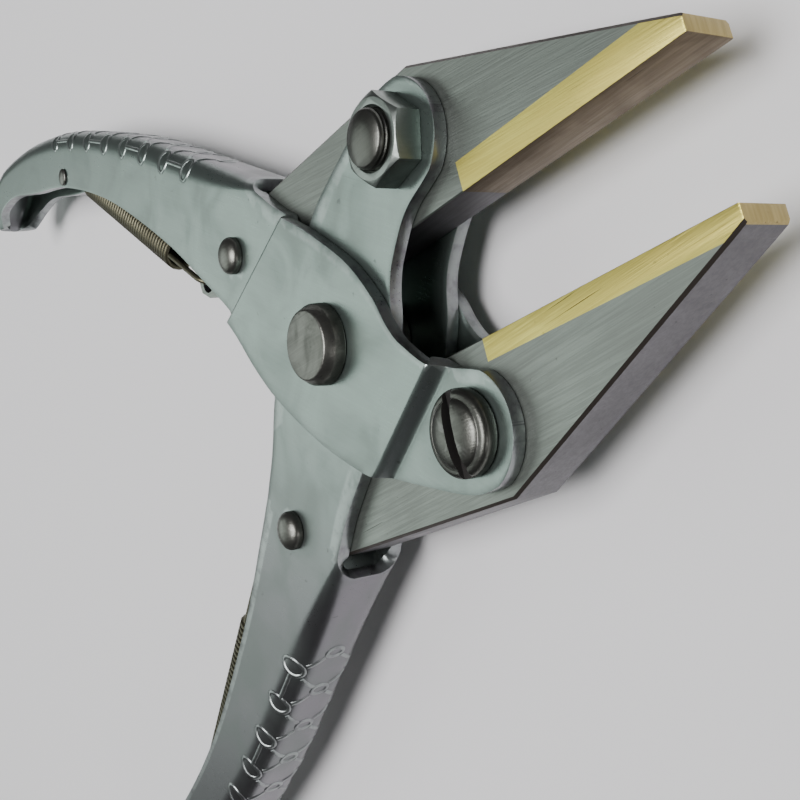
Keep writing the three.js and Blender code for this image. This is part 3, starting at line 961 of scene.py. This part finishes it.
# %% [markdown]
# The jaws are flat bars cut to an outline: a broad tapering nose, a straight back and a thin lug at the
# tail for the spring hook. Drawing the outline as one face, extruding it, and grinding a wider bevel along
# the outer edges follows the way the real jaws are milled and then dressed on a belt.

# %% Flat bars from an outline
def bar(outline, half, at=PIVOT):
    """An upright-sided bar of the outline's shape, half above and half below the middle."""
    bm = bmesh.new()
    face = bm.faces.new([bm.verts.new((at.x + x, at.y + y, -half)) for x, y in outline])
    made = bmesh.ops.extrude_face_region(bm, geom=[face])["geom"]
    top = [g for g in made if isinstance(g, bmesh.types.BMVert)]
    bmesh.ops.translate(bm, vec=(0, 0, 2 * half), verts=top)
    bmesh.ops.recalc_face_normals(bm, faces=bm.faces)
    return bm


def dress(bm, chosen, width, segments=1):
    """Bevels the edges that chosen(a, b) picks, a and b being the ends seen from the pivot."""
    edges = [e for e in bm.edges if chosen(*(v.co - PIVOT for v in e.verts))]
    bmesh.ops.bevel(
        bm, geom=edges, affect="EDGES", offset=width, segments=segments, profile=0.5, material=-1)


def box_cutter(low, high):
    bm = bmesh.new()
    bmesh.ops.create_cube(bm, size=1)
    size = [b - a for a, b in zip(low, high)]
    bmesh.ops.scale(bm, vec=size, verts=bm.verts)
    bmesh.ops.translate(bm, vec=[(a + b) / 2 for a, b in zip(low, high)], verts=bm.verts)
    return bm


def slot_cutter(x0, x1, y, radius, steps=16):
    """A round-ended slot, as a bar with a half circle at each end."""
    front = [math.radians(90 - 180 * k / steps) for k in range(steps + 1)]
    rear = [math.radians(270 - 180 * k / steps) for k in range(steps + 1)]
    outline = [(x0 + radius * math.cos(a), y + radius * math.sin(a)) for a in front]
    outline += [(x1 + radius * math.cos(a), y + radius * math.sin(a)) for a in rear]
    return bar(outline, DRILL_LENGTH / 2)


print(f"jaw bars are {2 * JAW_HALF:.2f} mm thick")

# %% [markdown]
# Steel and brass share one tapering outline, split by the line where the strip was let in. The strip could
# be painted on, but the two metals wear apart, so each is a bar of its own with a hairline joint. Outer
# edges get a wide chamfer, and grips and ends a finer one. The slot, the eye and the thin lug are cuts.

# %% The jaw's outline and its cuts
TIP, GRIP, TIP_HEIGHT = 31.62, -7.52, 1.49
CORNER, BACK = 1.94, 6.61
BACK_SLOPE = (GRIP + TIP_HEIGHT - BACK) / (TIP - CORNER)
JOINT = 0.04
OUTER_CHAMFER, END_CHAMFER, GRIP_CHAMFER, HEEL_CHAMFER = 0.27, 0.22, 0.1, 0.12
HOOK_EYE, EYE_RADIUS = (-46.2, 3.9), 1.35
SLOT_FRONT, SLOT_REAR, SLOT_HEIGHT, SLOT_RADIUS = -33.19, -41.2, 2.26, 2.04
LUG_REAR, LUG_FRONT, LUG_LOW, LUG_HIGH, LUG_HALF = -51.5, -39.5, 8, 22, 1.1
JAW_TAIL = [
    (-26, BACK), (-29, 5.9), (-47.4, 5.9), (-48.4, 4.9), (-48.2, 3.2), (-46.5, 1.9), (-44.8, 1.4),
    (-43.2, 0.4), (-41.2, -1.3), (-38.6, -3.3), (-16, -3.3), (-12, GRIP),
]


def level(a, b):
    return abs(a.z - b.z) < 0.01


def strip_edges(depth):
    """Top of a brass strip of this depth, and where its line meets the jaw's sloping back."""
    top = GRIP + depth
    return top, CORNER + (top - BACK) / BACK_SLOPE


def jaw(name, side, start, depth):
    top, end = strip_edges(depth)
    seat = top + JOINT
    bm = bar([(start, GRIP), (start, seat), (end - JOINT, seat), (CORNER, BACK), *JAW_TAIL], JAW_HALF)
    dress(bm, lambda a, b: level(a, b) and max(a.y, b.y) > top + 0.5 and min(a.y, b.y) > top + 0.01
          and min(a.x, b.x) > JAW_TAIL[1][0] - 1, OUTER_CHAMFER)
    dress(bm, lambda a, b: level(a, b) and max(a.y, b.y) < GRIP + 0.3 and a.x < start + 0.1, HEEL_CHAMFER)
    obj = piece(bm, name, side)
    rear, front = PIVOT.x + LUG_REAR, PIVOT.x + LUG_FRONT
    cuts = [
        hole_cutter(PIVOT.x, PIVOT.y, SCREW_HOLE),
        hole_cutter(PIVOT.x + HOOK_EYE[0], PIVOT.y + HOOK_EYE[1], EYE_RADIUS, 24),
        slot_cutter(SLOT_FRONT, SLOT_REAR, SLOT_HEIGHT, SLOT_RADIUS),
        box_cutter((rear, LUG_LOW, LUG_HALF), (front, LUG_HIGH, 6)),
        box_cutter((rear, LUG_LOW, -6), (front, LUG_HIGH, -LUG_HALF)),
    ]
    return cut(obj, *[piece(c, "cutter", side) for c in cuts])


def brass(name, side, start, depth):
    top, end = strip_edges(depth)
    top += JOINT
    outline = [(start, GRIP), (TIP, GRIP), (TIP, GRIP + TIP_HEIGHT), (end - JOINT, top), (start, top)]
    bm = bar(outline, JAW_HALF)
    dress(bm, lambda a, b: level(a, b) and min(a.y, b.y) > GRIP + 1
          and min(a.x, b.x) > end - 0.2, OUTER_CHAMFER)
    dress(bm, lambda a, b: min(a.x, b.x) > TIP - 0.01, END_CHAMFER, 2)
    dress(bm, lambda a, b: level(a, b) and max(a.y, b.y) < GRIP + 0.01 and abs(a.z) > 2, GRIP_CHAMFER, 2)
    return piece(bm, name, side)


slope = math.degrees(math.atan(BACK_SLOPE))
print(f"jaw {TIP - JAW_TAIL[3][0]:.1f} mm long, back slopes {slope:.1f} degrees")

# %% [markdown]
# The two jaws differ only in the place and depth of their brass strip, so one loop makes both from the same
# functions. Faces then take their finish by direction: bright on the ground flats, and painted shade on the
# rest: dark with painted reflection on the milled edges, brown on the chamfers and on the grips, and duller
# on the brass ends.

# %% Both jaws
STRIPS = {"upper": (5.42, 2.74), "lower": (3.05, 2.08)}  # where each strip starts, and its depth

for word, side in (("upper", UPPER), ("lower", LOWER)):
    steel = jaw(f"{word}_jaw_bar", side, *STRIPS[word])
    settle(steel, f"{word}_jaw", "jaw_steel", ground_steel[word], f"{word}_jaw", smooth=30)
    # Chamfers: painted shade.
    repaint(steel, shaded_chamfer_steel, side, lambda n: n.y > 0.3 and abs(n.z) > 0.3)
    # Upright faces: painted shade and reflection.
    repaint(steel, edge_steel, side, lambda n: abs(n.z) < 0.3)
    face = brass(f"{word}_brass_face", side, *STRIPS[word])
    settle(face, f"{word}_jaw", "jaw_brass", jaw_brass[word], f"{word}_jaw_brass", smooth=30)
    # Gripping faces: painted shade.
    repaint(face, shaded_grip_brass, side, lambda n: n.y < -0.9)
    # The brass's outer edge takes the same painted shade and reflection.
    repaint(face, edge_steel, side, lambda n: n.y > 0.3 and abs(n.z) < 0.3)
    # The brass chamfer takes the same painted shade.
    repaint(face, shaded_chamfer_steel, side, lambda n: n.y > 0.3 and abs(n.z) > 0.3)
    # Ends: painted shade.
    repaint(face, shaded_end_brass, side, lambda n: n.x > 0.6)

# %% [markdown]
# Rivet, bush, pins, screws and nuts were all turned on a lathe, so each starts as half a section spun about
# its axis. The full spin uses merge, which leaves one closed skin. The real heads show a rounded rim, a
# ring groove and a low dome, and a few extra points in the half section give each of those.

# %% Turned parts
def turned(section, x=0, y=0, steps=64):
    """Spins (radius, height) points about the upright axis through x, y."""
    bm = bmesh.new()
    verts = [bm.verts.new((r, 0, z)) for r, z in section]
    edges = [bm.edges.new(pair) for pair in zip(verts, verts[1:])]
    if section[0][0] > 0:
        edges.append(bm.edges.new((verts[-1], verts[0])))
    bmesh.ops.spin(
        bm, geom=verts + edges, cent=(0, 0, 0), axis=(0, 0, 1), angle=2 * math.pi, steps=steps,
        use_merge=True)
    bmesh.ops.remove_doubles(bm, verts=bm.verts, dist=MERGE)
    bmesh.ops.recalc_face_normals(bm, faces=bm.faces)
    bmesh.ops.translate(bm, vec=(x, y, 0), verts=bm.verts)
    return bm


def arc(centre, radius, first, last, steps):
    """Section points round an arc, angles in degrees from the outward direction."""
    angles = [math.radians(first + (last - first) * k / steps) for k in range(steps + 1)]
    return [(centre[0] + radius * math.cos(a), centre[1] + radius * math.sin(a)) for a in angles]


def mirrored(section):
    return [(r, -z) for r, z in reversed(section)] + section


SEAT = 0.05
BUSH_BORE, BUSH_OUTER, BUSH_HALF, BUSH_CHAMFER = 3.0, 3.6, 2.67, 0.1
head_seat = OUTER_LEVEL + SEAT
rivet_head = [
    (2.92, head_seat), (4.05, head_seat), *arc((4.0, head_seat + 0.18), 0.17, -60, 10, 3),
    (4.1, head_seat + 1.18), (4.04, head_seat + 1.32), (3.58, head_seat + 2.1), (3.47, head_seat + 2.2),
    (3.3, head_seat + 2.235), (1.4, head_seat + 2.245), (0, head_seat + 2.25),
]
rivet = piece(turned(mirrored(rivet_head)), "middle_rivet")
settle(rivet, "outer_handle", "fastener_steel", bolt_steel, "centre_rivet")
bush_wall = [
    (BUSH_OUTER, BUSH_HALF - BUSH_CHAMFER), (BUSH_OUTER - BUSH_CHAMFER, BUSH_HALF), (BUSH_BORE, BUSH_HALF),
]
bush = piece(turned(mirrored(bush_wall)), "middle_bush")
settle(bush, "inner_handle", "fastener_steel", bolt_steel, "centre_bush")

# %% [markdown]
# The guide pins slide in the jaws' slots and the small pins hold the springs. They differ only in size, and
# their heads are low domes that a rivet set has flattened. So one function takes the sizes, and the dome is
# a squashed quarter circle in the half section.

# %% Guide pins and spring pins
pin_seat = INNER_LEVEL + SEAT
DOME_STEPS = 9


def domed(head, rise, rim):
    """The rim wall of a head, then a flattened dome over it."""
    angles = [math.pi / 2 * k / DOME_STEPS for k in range(DOME_STEPS + 1)]
    dome = [(head * math.cos(a), pin_seat + rim + (rise - rim) * math.sin(a)) for a in angles]
    dome[-1] = (0, pin_seat + rise)
    return [(head - 0.08, pin_seat), (head, pin_seat + 0.1), *dome]


def pin(name, place, side, body, node, shoulder, shank, head, rise, rim):
    inside = JAW_HALF + GAP - SEAT
    section = [(shoulder, inside), (shank, inside), (shank, pin_seat), *domed(head, rise, rim)]
    obj = piece(turned(mirrored(section), place.x, place.y, 48), name, side)
    return settle(obj, body, "fastener_steel", bolt_steel, node)


guide_size = {"shoulder": 1.9, "shank": 1.48, "head": 2.14, "rise": 1.5, "rim": 0.45}
anchor_size = {"shoulder": 0.95, "shank": 0.75, "head": 1.25, "rise": 0.5, "rim": 0.15}
for side, body in ((UPPER, "outer"), (LOWER, "inner")):
    pin(f"{body}_slot_pin", GUIDE, side, f"{body}_handle", f"{body}_guide_pin", **guide_size)
    pin(f"{body}_anchor_pin", ANCHOR, side, f"{body}_handle", f"{body}_spring_pin", **anchor_size)

# %% [markdown]
# Each jaw turns on a slotted screw whose other end carries a nut. A true thread is a helix, but little of
# it shows past the nut, and plain rings look the same there. The slot is a Boolean cut turned to the angle
# at which the screw was left, and its walls and floor are painted near black, as the shade in the slot and
# its old grime.

# %% Jaw screws: slotted head on one side, threaded end on the other
THREAD, THREAD_ROOT, THREAD_PITCH = 2.76, 2.50, 0.5
SCREW_SHANK, SCREW_END = 2.78, 4.0
SLOT_HALF, SLOT_FLOOR, SLOT_TURN = 0.6, 1.1, -88
screw_under = INNER_LEVEL + SEAT


def thread_end(top):
    """Thread grooves up through the nut, then a rounded end."""
    out = []
    for k in range(5):
        z = top - 3.2 + THREAD_PITCH * k
        out += [(THREAD, z), (THREAD, z + 0.14), (THREAD_ROOT, z + 0.3), (THREAD_ROOT, z + 0.36)]
    rounded = arc((2.2, top - 0.72), 0.54, 5, 62, 4)
    return [*out, (2.74, top - 0.7), *rounded, (1.2, top - 0.05), (0.5, top), (0, top)]


def screw_head(under):
    """From the low dome over a ring groove and a round rim to the seat, below the handle."""
    dome = [(0, 2.2), (0.9, 2.19), (1.9, 2.09), (2.6, 1.9), (2.98, 1.73)]
    groove = [(3.06, 1.62), (3.12, 1.58), (3.2, 1.62)]
    rim = arc((3.3, -under - 0.9), 0.69, -88, 0, 7)
    foot = [(4.0, -under - 0.35), (3.86, -under), (SCREW_SHANK, -under)]
    return [*((r, -under - h) for r, h in dome + groove), *rim, *foot]


def slot_shade_and_dirt(obj, side):
    """Painted shade and old grime, near black, on the walls and the floor of the slot."""
    obj.data.materials.append(grime_and_shade)
    centre = TO_FRAME @ side @ PIVOT
    floor_height = (screw_under + SLOT_FLOOR) * MM
    reach = (SLOT_HALF + 0.08) * MM
    for face in obj.data.polygons:
        place = face.center - centre
        wall = abs(face.normal.z) < 0.5 and abs(face.normal.y) < 0.5 and abs(place.z) > floor_height - 1e-5
        bottom = abs(abs(place.z) - floor_height) < 1e-4
        if abs(place.x) < reach and (wall or bottom):
            face.material_index = 1


def jaw_screw(name, side, body, node):
    shank = [(SCREW_SHANK, INNER_LEVEL + 0.4)]
    section = [*screw_head(screw_under), *shank, *thread_end(INNER_LEVEL + SCREW_END)]
    obj = piece(turned(section, PIVOT.x, PIVOT.y, 72), name, side)
    slot = box_cutter((-5, -SLOT_HALF, -screw_under - 5), (5, SLOT_HALF, -screw_under - SLOT_FLOOR))
    turn = Matrix.Rotation(math.radians(SLOT_TURN), 3, "Z")
    bmesh.ops.rotate(slot, cent=(0, 0, 0), matrix=turn, verts=slot.verts)
    bmesh.ops.translate(slot, vec=PIVOT, verts=slot.verts)
    cut(obj, piece(slot, "cutter", side))
    apply_all(soften(obj, 0.06, 2, 55))
    settle(obj, body, "fastener_steel", screw_steel, node)
    slot_shade_and_dirt(obj, side)


jaw_screw("upper_jaw_screw", UPPER, "inner_handle", "upper_pivot_screw")
jaw_screw("lower_jaw_screw", LOWER, "outer_handle", "lower_pivot_screw")

# %% [markdown]
# A hexagon nut is a six-sided bar that has been chamfered in a lathe. A bevel on the six corners would
# leave straight lines there. Sharing the hexagon with a turned cone gives the curved lines that run across
# each corner of a real nut.

# %% Jaw nuts
NUT_CORNER, NUT_RISE, NUT_BORE, NUT_TURN = 4.38, 2.8, 2.83, 41.2


def hexagon(base):
    bm = bmesh.new()
    bmesh.ops.create_cone(
        bm, cap_ends=True, segments=6, radius1=NUT_CORNER, radius2=NUT_CORNER, depth=NUT_RISE)
    turn = Matrix.Rotation(math.radians(NUT_TURN), 3, "Z")
    bmesh.ops.rotate(bm, cent=(0, 0, 0), matrix=turn, verts=bm.verts)
    bmesh.ops.translate(bm, vec=(PIVOT.x, PIVOT.y, base + NUT_RISE / 2), verts=bm.verts)
    return bm


def jaw_nut(name, side, body, node):
    base = INNER_LEVEL + SEAT
    under, top = base - 1, base + NUT_RISE
    flats = NUT_CORNER * math.cos(math.pi / 6)
    obj = piece(hexagon(base), name, side)
    cone = [(0, under), (6, under), (6, top - 1.25), (flats - 0.1, top), (flats - 0.25, top + 0.02),
            (0, top + 0.02)]
    cut(obj, piece(turned(cone, PIVOT.x, PIVOT.y, 96), "cutter", side), operation="INTERSECT")
    bore = [(0, under), (NUT_BORE, under), (NUT_BORE, top - 0.35), (NUT_BORE + 0.3, top + 0.1),
            (0, top + 0.1)]
    cut(obj, piece(turned(bore, PIVOT.x, PIVOT.y, 64), "cutter", side))
    apply_all(soften(obj, 0.07, 2, 20))
    settle(obj, body, "fastener_steel", nut_steel, node)


jaw_nut("upper_jaw_nut", UPPER, "inner_handle", "upper_pivot_nut")
jaw_nut("lower_jaw_nut", LOWER, "outer_handle", "lower_pivot_nut")

# %% [markdown]
# A return spring is close-wound wire from the pin at the back of the handle to a hook through the jaw's
# lug. Spinning a small ring of wire with a step along the axis winds every turn at once. The frame joins
# the spring's rear end to one body and its hook to another; the coil is left where it is drawn, on no body.

# %% The winding
eye = PIVOT + Vector((*HOOK_EYE, 0))
SPRING_LINE = (eye - ANCHOR).normalized()
SPRING_REACH = (eye - ANCHOR).length
SPRING_TURN = Matrix.Translation(ANCHOR) @ SPRING_LINE.to_track_quat("X", "Z").to_matrix().to_4x4()
WIRE, COIL_RADIUS = 0.38, 2.02
COIL_START, COIL_END = 3.1, 33.5
TURN_STEPS, WIRE_SIDES = 16, 8


def coil(name, side):
    """Wire wound about the X axis, with its two ends closed."""
    length = COIL_END - COIL_START - 2 * WIRE
    turns = round(length / (2 * WIRE + 0.02))
    bm = bmesh.new()
    bmesh.ops.create_circle(bm, cap_ends=True, segments=WIRE_SIDES, radius=WIRE)
    half_side = Matrix.Rotation(math.pi / WIRE_SIDES, 3, "Z")
    bmesh.ops.rotate(bm, cent=(0, 0, 0), matrix=half_side, verts=bm.verts)
    bmesh.ops.translate(bm, vec=(COIL_START + WIRE, COIL_RADIUS, 0), verts=bm.verts)
    bmesh.ops.spin(
        bm, geom=bm.faces[:] + bm.edges[:] + bm.verts[:], cent=(0, 0, 0), axis=(1, 0, 0),
        dvec=(length / turns / TURN_STEPS, 0, 0), angle=turns * 2 * math.pi, steps=turns * TURN_STEPS,
        use_merge=False)
    bmesh.ops.recalc_face_normals(bm, faces=bm.faces)
    bmesh.ops.transform(bm, matrix=SPRING_TURN, verts=bm.verts)
    print(f"{name}: {turns} turns over {length:.1f} mm")
    return piece(bm, name, side)


print(f"spring reaches {SPRING_REACH:.1f} mm from pin to eye")

# %% [markdown]
# The hook is the last turn drawn out into two legs and a bow. A curve object with a round bevel would make
# it as well. Rings bridged one to the next stay a mesh from the start, and both ends can be closed there.

# %% The hook
def wire_along(points, radius, sides=10):
    """A round wire through the given points, closed at both ends."""
    bm = bmesh.new()
    rings = []
    for k, p in enumerate(points):
        ahead = points[min(k + 1, len(points) - 1)] - points[max(k - 1, 0)]
        place = Matrix.Translation(p) @ ahead.to_track_quat("Z", "Y").to_matrix().to_4x4()
        rings.append(bmesh.ops.create_circle(bm, segments=sides, radius=radius, matrix=place)["verts"])
    for a, b in zip(rings, rings[1:]):
        edges = [e for e in bm.edges if all(v in a for v in e.verts) or all(v in b for v in e.verts)]
        bmesh.ops.bridge_loops(bm, edges=edges)
    bm.faces.new(rings[0])
    bm.faces.new(rings[-1])
    return bm


HOOK_LOOP, BOW_STEPS = 1.9, 12


def hook(name, side):
    """Two legs either side of the lug, joined through its eye."""
    bow = SPRING_REACH - HOOK_LOOP + 0.3
    root, middle = COIL_END + 0.2, (COIL_END + bow) / 2
    points = [Vector((root, 0, HOOK_LOOP)), Vector((middle, 0, HOOK_LOOP))]
    for k in range(BOW_STEPS + 1):
        a = math.pi * k / BOW_STEPS
        points.append(Vector((bow + HOOK_LOOP * math.sin(a), 0, HOOK_LOOP * math.cos(a))))
    points += [Vector((middle, 0, -HOOK_LOOP)), Vector((root, 0, -HOOK_LOOP))]
    bm = wire_along(points, WIRE)
    bmesh.ops.transform(bm, matrix=SPRING_TURN, verts=bm.verts)
    return piece(bm, name, side)


print(f"hook bow {2 * (HOOK_LOOP + WIRE):.2f} mm wide")

# %% [markdown]
# Each spring's winding stretches between its pin and its hook, so no single body can carry it. It is left
# where it is drawn, on no body, while its hook rides on the hook's own body.

# %% Both springs
for side, body in ((UPPER, "outer"), (LOWER, "inner")):
    winding = coil(f"{body}_return_winding", side)
    winding.data.shade_smooth()
    winding.data.materials.append(spring_wire)
    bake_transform(winding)
    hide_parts(f"{body}_spring_coil")
    hooked = hook(f"{body}_return_hook", side)
    settle(hooked, f"{body}_spring_hook", "spring_steel", spring_wire, f"{body}_spring_hook", smooth=60)

# %% [markdown]
# The tool lies flat, and the camera looks back over the tips from close above. A long lens from far off
# would flatten the tool. A nearer one makes the tips large and lets the tails shrink.

# %% The camera
CAMERA_PLACE = (0.09271, -0.02755, 0.07476)
CAMERA_TURN = (-8.1677, 53.6471, -22.8871)

camera = bpy.data.objects.new("camera", bpy.data.cameras.new("camera"))
camera.data.lens = 51.28
camera.data.sensor_width = 36
camera.data.clip_start = 0.005
camera.location = CAMERA_PLACE
camera.rotation_euler = [math.radians(a) for a in CAMERA_TURN]
bpy.context.scene.collection.objects.link(camera)
bpy.context.scene.camera = camera
print(f"camera {Vector(CAMERA_PLACE).length * 100:.0f} cm from the rivet")

# %% [markdown]
# Satin metal shows what it reflects, so the lights are wide disks and not points. A ceiling light gives the
# even grey of the flats, a cool window from the left draws the long highlights, and a weak side light opens
# the shadows under the jaws.

# %% The lights
LIGHTS = {  # place, width, power and colour
    "window": ((-0.9, 0.2, 0.68), 0.85, 3.0, (0.92, 1.0, 0.97)),
    "ceiling": ((0.15, -0.05, 1.2), 0.8, 17, (1.0, 0.98, 1.0)),
    "side": ((0.9, -0.7, 0.35), 0.4, 1.2, (1.0, 0.96, 0.98)),
}

for name, (place, width, power, colour) in LIGHTS.items():
    lamp = bpy.data.lights.new(name, "AREA")
    lamp.shape = "DISK"
    lamp.size = width
    lamp.energy = power
    lamp.color = colour
    obj = bpy.data.objects.new(name, lamp)
    obj.location = place
    obj.rotation_euler = (-Vector(place)).to_track_quat("-Z", "Y").to_euler()
    bpy.context.scene.collection.objects.link(obj)
    print(f"{name} light: {power} W")

world = bpy.data.worlds.new("studio")
world.use_nodes = True
world.node_tree.nodes["Background"].inputs["Color"].default_value = (0.97, 0.93, 1.0, 1)
world.node_tree.nodes["Background"].inputs["Strength"].default_value = 0.06
bpy.context.scene.world = world

# %% [markdown]
# A plain pale floor under the lowest face of the tool catches its shadow.

# %% The floor
FLOOR_HALF = 3
floor_material = bpy.data.materials.new("pale_floor")
floor_material.use_nodes = True
floor_shader = floor_material.node_tree.nodes["Principled BSDF"]
floor_shader.inputs["Base Color"].default_value = (0.86, 0.86, 0.86, 1)
floor_shader.inputs["Roughness"].default_value = 0.9
bm = bmesh.new()
bmesh.ops.create_grid(bm, x_segments=1, y_segments=1, size=FLOOR_HALF)
bmesh.ops.translate(bm, vec=(0, 0, cad_box[0][2]), verts=bm.verts)
floor_mesh = bpy.data.meshes.new("floor")
bm.to_mesh(floor_mesh)
bm.free()
floor_mesh.materials.append(floor_material)
floor = bpy.data.objects.new("floor", floor_mesh)
bpy.context.scene.collection.objects.link(floor)
print(f"floor at {cad_box[0][2] / MM:.2f} mm")
